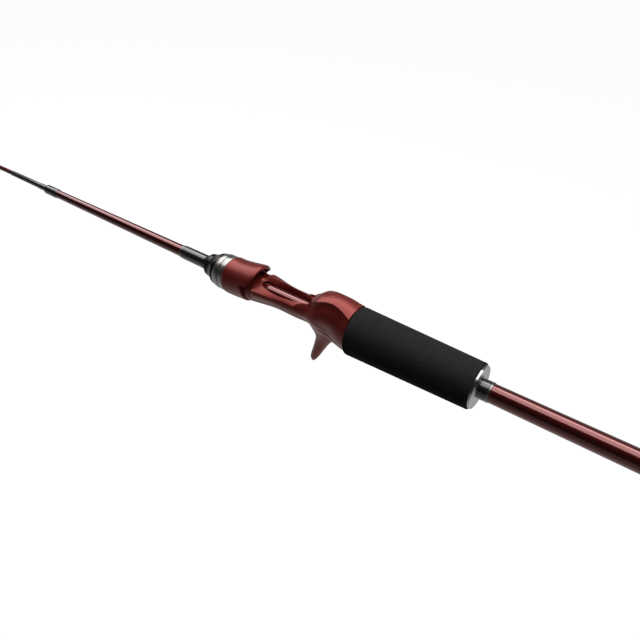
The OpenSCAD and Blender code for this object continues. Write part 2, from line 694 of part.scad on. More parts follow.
function guide_x(i) = rod_len - guide_from_tip[i];
function foot_z(i) = tip_r(guide_x(i) - 15) + eps;
function leg_reach(i) = guide_height[i] * 0.62;

module guide_frame(i) {
    x = guide_x(i);
    z = foot_z(i);
    centre_z = tip_r(x) + guide_height[i];
    d = foot_t;
    r = guide_size[i] / 2 + d / 2 + 0.05;
    reach = leg_reach(i);
    color(frame_grey) {
        translate([x, 0, centre_z]) hoop(guide_size[i]);
        // two struts from the rear foot to the sides of the hoop
        for (s = [-1, 1])
            strut([x - reach, s * 0.4, z + d / 2], [x, s * r * cos(25), centre_z - r * sin(25)], d);
        foot(x - reach, -1, z);
        if (i < two_footed) {
            strut([x + reach, 0, z + d / 2], [x, 0, centre_z - r], d);
            foot(x + reach, 1, z);
        }
    }
}

module guide_ring(i) {
    color(ceramic) translate([guide_x(i), 0, tip_r(guide_x(i)) + guide_height[i]])
        ceramic_ring(guide_size[i] - 0.02);
}

// Thread over a guide foot: round the blank and up over the foot.
module foot_wrap(i, dir) {
    x0 = guide_x(i) + dir * (leg_reach(i) + 1.5);
    x1 = guide_x(i) + dir * (leg_reach(i) + foot_len + 3);
    r = tip_r(guide_x(i));
    over = 0.25;
    difference() {
        along(min(x0, x1), max(x0, x1)) hull() {
            circle(r = r + over, $fn = small_fn);
            translate([0, foot_z(i) + foot_t - 0.6]) circle(r = foot_w / 2 * 0.5 + over + 0.25, $fn = 24);
        }
        turned([[0, tip_stations[1] - 5], [tip_r(tip_stations[1]) + glue_gap, tip_stations[1] - 5],
                [tip_r(tip_stations[1]) + glue_gap, tip_stations[1]],
                [tip_r(rod_len) + glue_gap, rod_len], [0, rod_len]]);
        foot(guide_x(i) + dir * leg_reach(i), dir, foot_z(i), eps);
    }
}

module guide_wrap(i) {
    color(wrap_black) {
        foot_wrap(i, -1);
        if (i < two_footed) foot_wrap(i, 1);
    }
}

tiptop_x = rod_len - 1;
tiptop_z = tiptop_size / 2 + hoop_wall + 2.4;
module tip_top_frame() {
    strut_d = 0.8;
    r = tiptop_size / 2 + strut_d / 2 + 0.05;
    tube_r = tip_r(tip_end - tiptop_tube) + 0.6;
    color(frame_grey) {
        sleeve(tip_end - tiptop_tube, tip_end,
            [[tube_r - 0.2, tip_end - tiptop_tube], [tube_r, tip_end - tiptop_tube + 0.3],
             [tube_r, tip_end - 0.3], [tube_r - 0.2, tip_end]], tip_table);
        translate([tiptop_x, 0, tiptop_z]) hoop(tiptop_size);
        for (s = [-1, 1])
            strut([tip_end - tiptop_tube + 2, s * tube_r, 0.3],
                  [tiptop_x, s * r * cos(20), tiptop_z - r * sin(20)], strut_d);
        strut([tip_end - 1, 0, tube_r], [tiptop_x, 0, tiptop_z - r], strut_d);
    }
}
module tip_top_ring() {
    color(ceramic) translate([tiptop_x, 0, tiptop_z]) ceramic_ring(tiptop_size - 0.02);
}

butt_blank();
butt_cap();
butt_ring();
rear_grip();
rear_grip_cone();
rear_trim_ring();
rear_wrap();
grip_end_disc();
main_grip();
reel_seat_body();
seat_arbor_rear();
seat_arbor_front();
moving_hood();
hood_cushion();
hood_ring();
lock_nut();
front_cone();
front_wrap();
front_trim_ring();
mouth_wrap();
mouth_trim_ring();
tip_blank();
tip_base_wrap();
tip_trim_ring();
tip_long_wrap();
tip_top_frame();
tip_top_ring();
for (i = [0:guide_count - 1]) {
    guide_frame(i);
    guide_ring(i);
    guide_wrap(i);
}
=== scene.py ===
"""Looks of the two-piece casting rod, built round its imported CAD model.

New surfaces are grids of points worked out with numpy, in millimetres, and their meshes are in
metres. x runs along the rod's axis from the butt to the tip, y across it, and +z is the side of
the reel and the guides. Guides, arbors and the hood's cushion keep their CAD meshes.
"""

import math

import bmesh
import bpy
import numpy as np
from mathutils import Matrix, Vector


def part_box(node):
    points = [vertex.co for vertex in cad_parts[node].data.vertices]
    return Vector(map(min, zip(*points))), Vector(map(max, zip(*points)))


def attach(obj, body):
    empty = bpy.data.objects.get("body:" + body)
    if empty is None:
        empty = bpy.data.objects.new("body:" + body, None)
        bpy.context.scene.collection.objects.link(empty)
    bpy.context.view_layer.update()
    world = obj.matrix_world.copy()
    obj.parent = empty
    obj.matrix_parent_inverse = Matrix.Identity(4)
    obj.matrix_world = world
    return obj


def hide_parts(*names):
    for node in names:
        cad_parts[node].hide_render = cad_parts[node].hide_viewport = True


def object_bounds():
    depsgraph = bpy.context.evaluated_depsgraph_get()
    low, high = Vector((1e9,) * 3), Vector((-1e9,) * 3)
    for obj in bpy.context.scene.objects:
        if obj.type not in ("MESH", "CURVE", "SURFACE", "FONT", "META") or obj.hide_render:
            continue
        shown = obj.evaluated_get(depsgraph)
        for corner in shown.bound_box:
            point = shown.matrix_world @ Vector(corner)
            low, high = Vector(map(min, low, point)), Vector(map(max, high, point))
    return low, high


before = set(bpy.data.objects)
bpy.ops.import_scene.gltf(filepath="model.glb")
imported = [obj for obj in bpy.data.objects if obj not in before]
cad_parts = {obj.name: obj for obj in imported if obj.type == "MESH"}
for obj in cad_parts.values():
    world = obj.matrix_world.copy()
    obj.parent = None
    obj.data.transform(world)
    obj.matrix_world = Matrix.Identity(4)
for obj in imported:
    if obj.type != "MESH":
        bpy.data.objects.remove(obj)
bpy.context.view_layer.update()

MM = 0.001
TURN = 2 * math.pi
BLANK_GAP = 0.05  # between the blank and whatever sits on it
CAP_FLOOR = 4  # thickness of the butt cap behind the blank
CAP_R = 14.5


# ---------------------------------------------------------------- measures from the model

def span(node):
    """Ends of a CAD node along the rod, and its greatest radius or height, in millimetres."""
    lo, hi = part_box(node)
    return lo.x / MM, hi.x / MM, hi.z / MM


seat_x = span("reel_seat_body")[0]
mouth_x = span("butt_blank")[1]
grip_x0, grip_x1 = span("main_grip")[:2]
cone_x0, cone_x1, cone_r = span("front_cone")
hood_rear, hood_front = span("moving_hood")[:2]
tip_blank_x0, tip_blank_x1 = span("tip_blank")[:2]
tip_foot = span("tip_base_wrap")[0]
tip_knee = span("tip_long_wrap")[1] + 10

# Stations along the rod and the blank's radius there.
BUTT_TAPER = np.array([[0, 5.5], [grip_x0 - 10, 5.0], [mouth_x, 3.05]])
TIP_TAPER = np.array([[tip_foot, 2.0], [tip_knee, 1.75], [tip_blank_x1 + 2, 0.85]])


def blank_radius(x, taper=BUTT_TAPER):
    """Radius of the blank at x: straight lines between the taper's stations."""
    return np.interp(x, taper[:, 0], taper[:, 1])


# ---------------------------------------------------------------- shapes

def ease(u):
    """Smooth step: 0 below 0, 1 above 1, and 3u^2 - 2u^3 between."""
    u = np.clip(u, 0, 1)
    return u * u * (3 - 2 * u)


def smooth_at(x, table):
    """Cubic Hermite curve through [station, value] rows, each slope taken over the neighbours."""
    t = np.asarray(table, float)
    s, v = t[:, 0], t[:, 1]
    m = np.empty(len(s))
    m[1:-1] = (v[2:] - v[:-2]) / (s[2:] - s[:-2])
    m[0], m[-1] = (v[1] - v[0]) / (s[1] - s[0]), (v[-1] - v[-2]) / (s[-1] - s[-2])
    x = np.clip(np.asarray(x, float), s[0], s[-1])
    i = np.clip(np.searchsorted(s, x) - 1, 0, len(s) - 2)
    w = s[i + 1] - s[i]
    u = (x - s[i]) / w
    return ((2 * u**3 - 3 * u**2 + 1) * v[i] + (u**3 - 2 * u**2 + u) * w * m[i]
            + (3 * u**2 - 2 * u**3) * v[i + 1] + (u**3 - u**2) * w * m[i + 1])


def rounded(outline, radius, steps=5):
    """Closed outline with each corner replaced by a small arc: the quadratic curve from a point
    before the corner to one after it, no further off than 0.45 of either side."""
    p = np.asarray(outline, float)
    before, after = np.roll(p, 1, 0) - p, np.roll(p, -1, 0) - p
    lb, la = np.linalg.norm(before, axis=1), np.linalg.norm(after, axis=1)
    reach = np.minimum(radius, 0.45 * np.minimum(lb, la))
    a = p + before * (reach / lb)[:, None]
    b = p + after * (reach / la)[:, None]
    s = np.linspace(0, 1, steps)[None, :, None]
    arc = (1 - s)**2 * a[:, None] + 2 * s * (1 - s) * p[:, None] + s**2 * b[:, None]
    return arc.reshape(-1, 2)


def grid_faces(rows, columns, loop_rows, loop_columns):
    """Corner numbers of the quads between neighbouring rows and columns of a grid."""
    i = np.arange(rows if loop_rows else rows - 1)[:, None]
    j = np.arange(columns if loop_columns else columns - 1)[None, :]
    k, l = (i + 1) % rows, (j + 1) % columns
    return np.stack([i * columns + j, i * columns + l, k * columns + l, k * columns + j],
                    -1).reshape(-1, 4)


def mesh_of(name, points, quads, caps=()):
    """Mesh object from points in millimetres, quads and cap rings, its faces turned outwards
    by the sign of the enclosed volume."""
    points = np.asarray(points, float).reshape(-1, 3) * MM
    q = (points - points.mean(0))[quads]
    volume = np.einsum("ij,ij->", q[:, 0], np.cross(q[:, 1], q[:, 2])) \
        + np.einsum("ij,ij->", q[:, 0], np.cross(q[:, 2], q[:, 3]))
    faces = quads if volume > 0 else quads[:, ::-1]
    rings = [list(c) if volume > 0 else list(c)[::-1] for c in caps]
    loops = np.concatenate([faces.ravel()] + [np.array(r, faces.dtype) for r in rings])
    sizes = np.array([4] * len(faces) + [len(r) for r in rings])
    starts = np.concatenate([[0], np.cumsum(sizes)[:-1]])
    mesh = bpy.data.meshes.new(name)
    mesh.vertices.add(len(points))
    mesh.vertices.foreach_set("co", points.astype(np.float32).ravel())
    mesh.loops.add(len(loops))
    mesh.loops.foreach_set("vertex_index", loops.astype(np.int32))
    mesh.polygons.add(len(sizes))
    mesh.polygons.foreach_set("loop_start", starts.astype(np.int32))
    mesh.update(calc_edges=True)
    mesh.validate()
    piece = bpy.data.objects.new(name, mesh)
    bpy.context.scene.collection.objects.link(piece)
    return piece


def shade(piece, sharp=32):
    """Smooth shading, kept crisp over edges that bend by more than that many degrees."""
    piece.data.shade_smooth()
    piece.data.set_sharp_from_angle(angle=math.radians(sharp))
    return piece


def turned(name, outline, sides=128):
    """Closed outline of [x, radius] turned about the rod's axis: y and z are the radius times
    the cosine and the sine of the turn."""
    p = np.asarray(outline, float)
    a = np.linspace(0, TURN, sides, endpoint=False)
    grid = np.stack(np.broadcast_arrays(p[:, 0][:, None], p[:, 1][:, None] * np.cos(a),
                                        p[:, 1][:, None] * np.sin(a)), -1)
    return shade(mesh_of(name, grid, grid_faces(len(p), sides, True, True)))


def lofted(name, rings):
    """Closed skin over rings of points (rings, points, 3), its two ends capped."""
    rows, columns = rings.shape[:2]
    last = (rows - 1) * columns
    return mesh_of(name, rings, grid_faces(rows, columns, False, True),
                   [range(columns - 1, -1, -1), range(last, last + columns)])


def settle(piece):
    """Turns what the piece's modifiers make into its own mesh."""
    bpy.context.view_layer.update()
    done = bpy.data.meshes.new_from_object(
        piece.evaluated_get(bpy.context.evaluated_depsgraph_get()))
    piece.modifiers.clear()
    piece.data = done
    return piece


def carve(piece, other, operation="DIFFERENCE"):
    """Cuts or joins another closed mesh, which is then removed."""
    step = piece.modifiers.new("carve", "BOOLEAN")
    step.operation, step.solver, step.object = operation, "MANIFOLD", other
    settle(piece)
    bpy.data.objects.remove(other)
    return piece


def rod_of(name, x0, x1, radius):
    """Plain cylinder on the rod's axis, to cut or to join."""
    a = np.linspace(0, TURN, 96, endpoint=False)
    ring = np.stack([0 * a, radius * np.cos(a), radius * np.sin(a)], -1)
    return lofted(name, np.stack([ring + [x0, 0, 0], ring + [x1, 0, 0]]))


# ---------------------------------------------------------------- shader groups

def group_of(name, inputs, outputs):
    """New shader group with float, colour and vector sockets; returns its tree, its input node
    and its output node."""
    tree = bpy.data.node_groups.new(name, "ShaderNodeTree")
    kinds = {"f": "NodeSocketFloat", "c": "NodeSocketColor", "v": "NodeSocketVector"}
    for label, kind in inputs:
        tree.interface.new_socket(label, in_out="INPUT", socket_type=kinds[kind])
    for label, kind in outputs:
        tree.interface.new_socket(label, in_out="OUTPUT", socket_type=kinds[kind])
    entry, leave = tree.nodes.new("NodeGroupInput"), tree.nodes.new("NodeGroupOutput")
    return tree, entry, leave


def link(tree, source, target):
    """Joins an output socket to an input socket."""
    tree.links.new(source, target)


def math_node(tree, operation, first, second=None):
    """Math node; a plain number or a socket may stand in either place."""
    node = tree.nodes.new("ShaderNodeMath")
    node.operation = operation
    for socket, value in zip(node.inputs, (first, second)):
        if isinstance(value, (int, float)):
            socket.default_value = value
        elif value is not None:
            link(tree, value, socket)
    return node.outputs[0]


def noise_node(tree, vector, scale, detail=3.0, roughness=0.55):
    """Noise on a vector, with a number or a socket as its scale."""
    node = tree.nodes.new("ShaderNodeTexNoise")
    node.inputs["Detail"].default_value = detail
    node.inputs["Roughness"].default_value = roughness
    link(tree, vector, node.inputs["Vector"])
    if isinstance(scale, (int, float)):
        node.inputs["Scale"].default_value = scale
    else:
        link(tree, scale, node.inputs["Scale"])
    return node.outputs["Fac"]


def mix_colour(tree, amount, first, second):
    """Colour mix by an amount; each colour is a socket or a plain colour."""
    node = tree.nodes.new("ShaderNodeMix")
    node.data_type = "RGBA"
    for socket, value in ((node.inputs[0], amount), (node.inputs[6], first), (node.inputs[7], second)):
        if hasattr(value, "is_linked"):
            link(tree, value, socket)
        elif isinstance(value, (int, float)):
            socket.default_value = value
        else:
            socket.default_value = (*value, 1)
    return node.outputs[2]


def make_handled():
    """Group: slight unevenness of a handled surface. Broad noise shifts colour and roughness,
    fine noise gives the height."""
    tree, entry, leave = group_of(
        "handled", [("Vector", "v"), ("Colour", "c"), ("Worn Colour", "c"), ("Roughness", "f"),
                    ("Spread", "f"), ("Scale", "f"), ("Grain Scale", "f")],
        [("Colour", "c"), ("Roughness", "f"), ("Height", "f")])
    broad = noise_node(tree, entry.outputs["Vector"], entry.outputs["Scale"], 4)
    grain = noise_node(tree, entry.outputs["Vector"], entry.outputs["Grain Scale"], 2)
    link(tree, mix_colour(tree, broad, entry.outputs["Colour"], entry.outputs["Worn Colour"]),
         leave.inputs["Colour"])
    shift = math_node(tree, "MULTIPLY", math_node(tree, "SUBTRACT", broad, 0.5),
                      entry.outputs["Spread"])
    link(tree, math_node(tree, "ADD", entry.outputs["Roughness"], shift), leave.inputs["Roughness"])
    link(tree, grain, leave.inputs["Height"])
    return tree


def make_lines():
    """Group: fine lines round the rod. A sine of x at the given number of lines per metre,
    broken up by noise, gives the height and a mask."""
    tree, entry, leave = group_of("lines", [("Vector", "v"), ("Lines", "f"), ("Break", "f")],
                                  [("Height", "f"), ("Mask", "f")])
    split = tree.nodes.new("ShaderNodeSeparateXYZ")
    link(tree, entry.outputs["Vector"], split.inputs[0])
    loose = noise_node(tree, entry.outputs["Vector"], 420.0, 2)
    phase = math_node(tree, "MULTIPLY", split.outputs["X"], entry.outputs["Lines"])
    phase = math_node(tree, "ADD", math_node(tree, "MULTIPLY", phase, TURN),
                      math_node(tree, "MULTIPLY", loose, entry.outputs["Break"]))
    wave = math_node(tree, "SINE", phase)
    link(tree, wave, leave.inputs["Height"])
    link(tree, math_node(tree, "MULTIPLY_ADD", wave, 0.5), leave.inputs["Mask"])
    tree.nodes[-1].inputs[2].default_value = 0.5
    return tree


HANDLED, LINES = make_handled(), make_lines()


class Finish:
    """A material with one Principled shader, object coordinates and helpers for its groups."""

    def __init__(self, name, colour, roughness, metallic=0.0, **constants):
        """Sets the shader's plain values; `constants` are further sockets by their labels."""
        self.material = bpy.data.materials.new(name)
        self.material.use_nodes = True
        self.tree = self.material.node_tree
        self.shader = self.tree.nodes["Principled BSDF"]
        self.shader.inputs["Base Color"].default_value = (*colour, 1)
        self.shader.inputs["Roughness"].default_value = roughness
        self.shader.inputs["Metallic"].default_value = metallic
        for label, value in constants.items():
            self.shader.inputs[label.replace("_", " ")].default_value = value
        self.colour, self.roughness = colour, roughness
        self.place = self.tree.nodes.new("ShaderNodeTexCoord").outputs["Object"]
        self.height = None

    def handled(self, worn, spread, scale, grain, depth):
        """Adds the handled group to colour and roughness, and its grain to the height."""
        node = self.tree.nodes.new("ShaderNodeGroup")
        node.node_tree = HANDLED
        link(self.tree, self.place, node.inputs["Vector"])
        for label, value in (("Colour", (*self.colour, 1)), ("Worn Colour", (*worn, 1)),
                             ("Roughness", self.roughness), ("Spread", spread),
                             ("Scale", scale), ("Grain Scale", grain)):
            node.inputs[label].default_value = value
        link(self.tree, node.outputs["Colour"], self.shader.inputs["Base Color"])
        link(self.tree, node.outputs["Roughness"], self.shader.inputs["Roughness"])
        return self.bump(node.outputs["Height"], depth)

    def lines(self, per_metre, loose, depth):
        """Adds the lines group to the height."""
        node = self.tree.nodes.new("ShaderNodeGroup")
        node.node_tree = LINES
        link(self.tree, self.place, node.inputs["Vector"])
        node.inputs["Lines"].default_value = per_metre
        node.inputs["Break"].default_value = loose
        return self.bump(node.outputs["Height"], depth)

    def bump(self, height, depth):
        """Chains a Bump node of that depth, in metres, into the normal."""
        node = self.tree.nodes.new("ShaderNodeBump")
        node.inputs["Distance"].default_value = depth
        node.inputs["Strength"].default_value = 1.0
        link(self.tree, height, node.inputs["Height"])
        if self.height:
            link(self.tree, self.height, node.inputs["Normal"])
        self.height = node.outputs[0]
        link(self.tree, self.height, self.shader.inputs["Normal"])
        return self


lacquer = Finish("red_lacquer", (0.18, 0.012, 0.009), 0.3, 0.9, Coat_Weight=1.0, Coat_Roughness=0.07,
                 Coat_IOR=1.9).handled((0.18, 0.011, 0.008), 0.05, 60, 5200, 0.000004)
seat_paint = Finish("satin_red_paint", (0.25, 0.021, 0.014), 0.4, 0.6, Specular_IOR_Level=0.3,
                    Coat_Weight=0.7, Coat_Roughness=0.36).handled(
    (0.29, 0.026, 0.018), 0.06, 90, 6500, 0.000006)
foam = Finish("black_foam", (0.011, 0.0105, 0.011), 0.85, Specular_IOR_Level=0.2).handled(
    (0.03, 0.029, 0.03), 0.1, 260, 1900, 0.00014)
thread = Finish("black_thread_under_varnish", (0.004, 0.004, 0.0045), 0.3, Specular_IOR_Level=1.0,
                Coat_Weight=1.0, Coat_Roughness=0.06, Coat_IOR=1.8).lines(3600, 1.2, 0.00001)
black_gloss = Finish("black_gloss", (0.004, 0.004, 0.0045), 0.24).handled(
    (0.007, 0.007, 0.007), 0.1, 120, 4000, 0.000004)
brushed = Finish("brushed_alloy", (0.62, 0.60, 0.58), 0.3, 1.0).handled(
    (0.50, 0.48, 0.46), 0.16, 900, 7000, 0.000006)
polished = Finish("polished_alloy", (0.74, 0.74, 0.74), 0.18, 1.0).handled(
    (0.62, 0.62, 0.62), 0.12, 500, 5000, 0.000004)
smoked = Finish("smoked_alloy", (0.36, 0.35, 0.34), 0.26, 1.0).handled(
    (0.28, 0.27, 0.26), 0.12, 500, 5000, 0.000004)
guide_steel = Finish("smoked_steel", (0.22, 0.225, 0.235), 0.22, 1.0).handled(
    (0.17, 0.17, 0.18), 0.1, 700, 6000, 0.000004)
ceramic = Finish("dark_ceramic", (0.02, 0.021, 0.024), 0.12, Specular_IOR_Level=0.6).handled(
    (0.03, 0.03, 0.034), 0.05, 800, 6000, 0.000002)
arbor_foam = Finish("tan_arbor", (0.42, 0.34, 0.2), 0.8).handled(
    (0.5, 0.42, 0.27), 0.1, 300, 2500, 0.00008)
rubber = Finish("soft_black_liner", (0.012, 0.012, 0.012), 0.7).handled(
    (0.02, 0.02, 0.02), 0.1, 300, 3000, 0.00002)


def dress(piece, finish, body, slot, *nodes):
    """Gives a piece its finish and the body that it moves with, in place of CAD nodes."""
    piece.data.materials.clear()
    piece.data.materials.append(finish.material)
    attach(piece, body)
    if nodes:
        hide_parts(*nodes)
    return piece


def paint(node, finish):
    """Gives a CAD node that keeps its own mesh its finish."""
    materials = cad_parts[node].data.materials
    materials.clear()
    materials.append(finish.material)


# ---------------------------------------------------------------- camera

def place_camera():
    """Camera looking down at the reel seat from the butt's left: set by its azimuth and elevation,
    its distance from a point on the seat's axis and small offsets across the view."""
    azimuth, elevation = math.radians(217.11), math.radians(37.95)
    distance, shift, lift = 0.32735, 0.00032, 0.00339
    right = Vector((math.cos(azimuth), math.sin(azimuth), 0))
    forward = Vector((-math.sin(azimuth) * math.cos(elevation),
                      math.cos(azimuth) * math.cos(elevation), -math.sin(elevation)))
    up = right.cross(forward)
    aim = Vector(((seat_x + 25) * MM, 0, 0))
    spot = aim - (distance * forward - shift * right + lift * up)
    data = bpy.data.cameras.new("camera")
    data.sensor_width, data.lens, data.clip_start = 36, 32.625, 0.01
    camera = bpy.data.objects.new("camera", data)
    bpy.context.scene.collection.objects.link(camera)
    camera.matrix_world = Matrix.Translation(spot) @ Matrix((right, up, -forward)).transposed().to_4x4()
    bpy.context.scene.camera = camera


place_camera()


# ---------------------------------------------------------------- blanks

def butt_blank():
    """Tapered tube: the outside falls in straight lines from the butt to the mouth, and the
    inside is the wall behind the socket's own taper."""
    knee, knee_r = BUTT_TAPER[1]
    socket = mouth_x - 51
    outline = [[CAP_FLOOR, blank_radius(CAP_FLOOR)], [knee, knee_r],
               [mouth_x - 0.3, blank_radius(mouth_x)], [mouth_x, blank_radius(mouth_x) - 0.2],
               [mouth_x, 2.25], [socket, 2.0], [socket, 1.95], [knee, 3.7], [CAP_FLOOR, 4.2]]
    return dress(turned("red_butt_blank", outline, 160), lacquer, "handle", "blank", "butt_blank")


def tip_blank():
    """Thin tapered tube with the plug that goes into the socket."""
    plug, end, bore = tip_blank_x0, tip_blank_x1, 1.05
    end_r = blank_radius(end, TIP_TAPER)
    outline = [[plug, bore], [plug, 1.75], [plug + 0.6, 1.95], [mouth_x, 2.2], [tip_foot, 2.2],
               [tip_foot, 2.0], [tip_knee, 1.75], [end, end_r], [end, end_r - 0.5], [tip_knee, bore]]
    return dress(turned("red_tip_blank", outline, 96), lacquer, "tip_section", "blank", "tip_blank")


butt_blank()
tip_blank()


# ---------------------------------------------------------------- wraps and trim rings

def wrap(node, body, taper=BUTT_TAPER):
    """Thread laid round the blank under varnish: the varnish swells over the thread and runs out
    on the blank at each end in a rounded foot."""
    x0, x1, top = span(node)
    u = np.linspace(0, 1, 61)
    x = x0 + u * (x1 - x0)
    foot = min(1.2, (x1 - x0) * 0.28)
    near = np.minimum(x - x0, x1 - x) / foot
    rise = np.sqrt(np.clip(1 - (1 - np.clip(near, 0, 1))**2, 0, 1))
    base = blank_radius(x, taper)
    height = top - blank_radius(x0 + foot, taper)
    film = 0.06
    outer = base + film + (height - film) * rise
    inner = base[[-1, 0]] + BLANK_GAP
    outline = np.concatenate([np.stack([x, outer], -1), [[x1, inner[0]], [x0, inner[1]]]])
    return dress(turned(node + "_varnished", outline, 128), thread, body, "wrap", node)


def trim_ring(node, body):
    """Half-round metal ring on the blank: an arc of 160 degrees stretched to the ring's width."""
    x0, x1, top = span(node)
    taper = BUTT_TAPER if x1 < mouth_x + 1 else TIP_TAPER
    base = blank_radius((x0 + x1) / 2, taper) + BLANK_GAP
    half = math.radians(80)
    a = np.linspace(-1, 1, 17) * half
    x = (x0 + x1) / 2 + (x1 - x0) / 2 * np.sin(a) / math.sin(half)
    outer = base + (top - base) * (0.3 + 0.7 * np.cos(a))
    outline = np.concatenate([np.stack([x, outer], -1), [[x1, base], [x0, base]]])
    return dress(turned(node + "_bright", outline, 128), smoked, body, "alloy", node)


for node in ("rear_wrap", "front_wrap", "mouth_wrap"):
    wrap(node, "handle")
for node in ("tip_base_wrap", "tip_long_wrap"):
    wrap(node, "tip_section", TIP_TAPER)
for node in ("rear_trim_ring", "front_trim_ring", "mouth_trim_ring"):
    trim_ring(node, "handle")
trim_ring("tip_trim_ring", "tip_section")


# ---------------------------------------------------------------- grips

def bore_at(*stations):
    """Ends of a sleeve's outline on the blank: a point at each station, clear of the blank."""
    x = np.array(stations, float)
    return np.stack([x, blank_radius(x) + BLANK_GAP], -1)


def main_grip():
    """Turned foam, growing in a straight line towards the seat, its corners rounded. Its outside
    waves by 0.04 mm, the product of two sines of x, as a ground surface does."""
    outline = np.concatenate([bore_at(grip_x0), [[grip_x0, 12.4], [grip_x1, 14.05]], bore_at(grip_x1)])
    p = rounded(outline, 1.2, 9)
    wave = 0.04 * np.sin(p[:, 0] / 3.1) * np.sin(p[:, 0] / 7.3 + 1)
    p[:, 1] += wave * (p[:, 1] > 7)
    return dress(turned("main_grip_foam", p, 160), foam, "handle", "foam", "main_grip")


def rear_grip():
    """Turned foam that falls in a smooth curve from the butt's radius to the neck's, with a
    quarter-round corner at the neck."""
    x0, x1 = span("rear_grip")[:2]
    neck, corner = 11, 1.2
    u = np.linspace(0, 1, 30)
    r = smooth_at(u, [[0, CAP_R], [0.25, 13.9], [0.6, 11.4], [0.85, neck], [1, neck]])
    top = np.stack([x0 + u * (x1 - corner - x0), r], -1)
    a = np.linspace(0.25, 1, 5) * math.pi / 2
    nose = np.stack([x1 - corner + corner * np.sin(a), neck - corner * (1 - np.cos(a))], -1)
    outline = np.concatenate([top, nose, bore_at(x1, x0)])
    return dress(turned("rear_grip_foam", outline, 160), foam, "handle", "foam", "rear_grip")


def butt_cap():
    """Closed rubber cap: a flat end with a shallow dish, a quarter-oval shoulder and a straight
    wall round the blank."""
    x1 = span("butt_cap")[1]
    a = np.linspace(0, math.pi / 2, 12)
    shoulder = np.stack([2.8 * (1 - np.cos(a)), CAP_R - 4 + 4 * np.sin(a)], -1)
    outline = np.concatenate([[[0.25, 0], [0.25, 9.4], [0, 9.9]], shoulder, [[x1, CAP_R]],
                              bore_at(x1, CAP_FLOOR), [[CAP_FLOOR, 0]]])
    piece = close_poles(turned("rubber_butt_cap", outline))
    return dress(piece, rubber, "handle", "foam", "butt_cap")


def close_poles(piece):
    """Merges the points that fall together on the axis and turns the faces outwards."""
    work = bmesh.new()
    work.from_mesh(piece.data)
    bmesh.ops.remove_doubles(work, verts=work.verts, dist=1e-7)
    bmesh.ops.dissolve_degenerate(work, edges=work.edges, dist=1e-8)
    bmesh.ops.recalc_face_normals(work, faces=work.faces)
    work.to_mesh(piece.data)
    work.free()
    return shade(piece)


def end_disc():
    """Spun disc on the main grip's rear face: a neck round the blank, a face dished by
    0.5 s^2.2 from neck to rim, and a raised bead at the rim."""
    x0, x1, r = span("grip_end_disc")
    neck = blank_radius(x0) + 1.0
    s = np.linspace(0, 1, 28)
    face = np.stack([x0 + 0.72 - 0.5 * s**2.2, neck + 0.6 + (r - neck - 0.9) * s], -1)
    outline = np.concatenate([bore_at(x0), [[x0, neck], [x0 + 0.42, neck + 0.35]], face,
                              [[x0 + 0.2, r - 0.1], [x0 + 0.5, r], [x1, r]], bore_at(x1)])
    return dress(turned("spun_end_disc", outline, 160), polished, "handle", "alloy", "grip_end_disc")


def butt_ring():
    """Metal ring with rounded edges between the butt cap and the rear grip."""
    x0, x1, r = span("butt_ring")
    inner = blank_radius((x0 + x1) / 2) + BLANK_GAP
    outline = rounded([[x0, inner], [x0, r], [x1, r], [x1, inner]], 0.35)
    return dress(turned("butt_ring_turned", outline, 160), brushed, "handle", "alloy", "butt_ring")


def rear_cone():
    """Hollow-sided cone: its radius falls as (1 - u)^1.6 along its length."""
    x0, x1 = span("rear_grip_cone")[:2]
    u = np.linspace(0, 1, 24)
    big, small = 9.2, blank_radius(x1) + 0.9
    outer = np.stack([x0 + u * (x1 - x0), small + (big - small) * (1 - u)**1.6], -1)
    outline = np.concatenate([outer, bore_at(x1, x0)])
    return dress(turned("rear_cone_turned", outline), polished, "handle", "alloy", "rear_grip_cone")


main_grip()
rear_grip()
butt_cap()
end_disc()
butt_ring()
rear_cone()


# ---------------------------------------------------------------- reel seat body

SEAT_LEN = 76  # from the seat's rear face to the barrel
MOUTH = 29  # from the rear face to the mouth of the fixed hood's pocket
BED = 6.4  # height of the bed under the reel foot
POCKET_H = 4.5  # height of the reel foot's way over the bed
BODY_R = 9.65
BARREL_R = 9
SEAT_BORE_R = 4.9
ROOT_BLEND = 1.8  # reach of the smoothing where the trigger meets the belly

# Each row of these tables is [station from the seat's rear face, value], in millimetres.
# CROWN and ARCH: height of the body's arched top, and that arch's radius. BED_ARCH: the arch of
# the bed. BELLY: radius below. WING: how far the sides flare past the belly.
CROWN = [[0, 13.7], [4, 14.8], [11, 16.4], [18, 17.9], [22, 17.8], [26, 15.9], [29.5, 11.2],
         [32, BED + 3], [36, BED + 1.6], [42, BED + 1.2], [76, BED + 1.2]]
ARCH = [[0, 13.7], [4, 13.2], [11, 12.6], [18, 12], [22, 11.8], [26, 11.3], [29.5, 10], [32, 10],
        [36, 11.6], [42, 15], [50, 18], [57, 22], [64.5, 30], [76, 34]]
BED_ARCH = [[29, 13.5], [42, 12.5], [47, 12.5], [52, 13.9], [57, 16.9], [64.5, 24.5], [76, 28.5]]
BELLY = [[0, 13.4], [4, 12.9], [11, 11.5], [17, 10.4], [22, 9.4], [26, 8.1], [30, 7.4], [38, 7.6],
         [46, 7.5], [51, 7.5], [57, 7.9], [65, 8.9], [71, BODY_R], [76, BODY_R]]
WING = [[0, 3], [14, 4.6], [20, 4.3], [25, 3.4], [30, 2.3], [35, 1.45], [40, 1.05], [47, 1.2],
        [52, 1.65], [57, 2.05], [64, 2.2], [67.4, 1.9], [67.7, 0], [76, 0]]

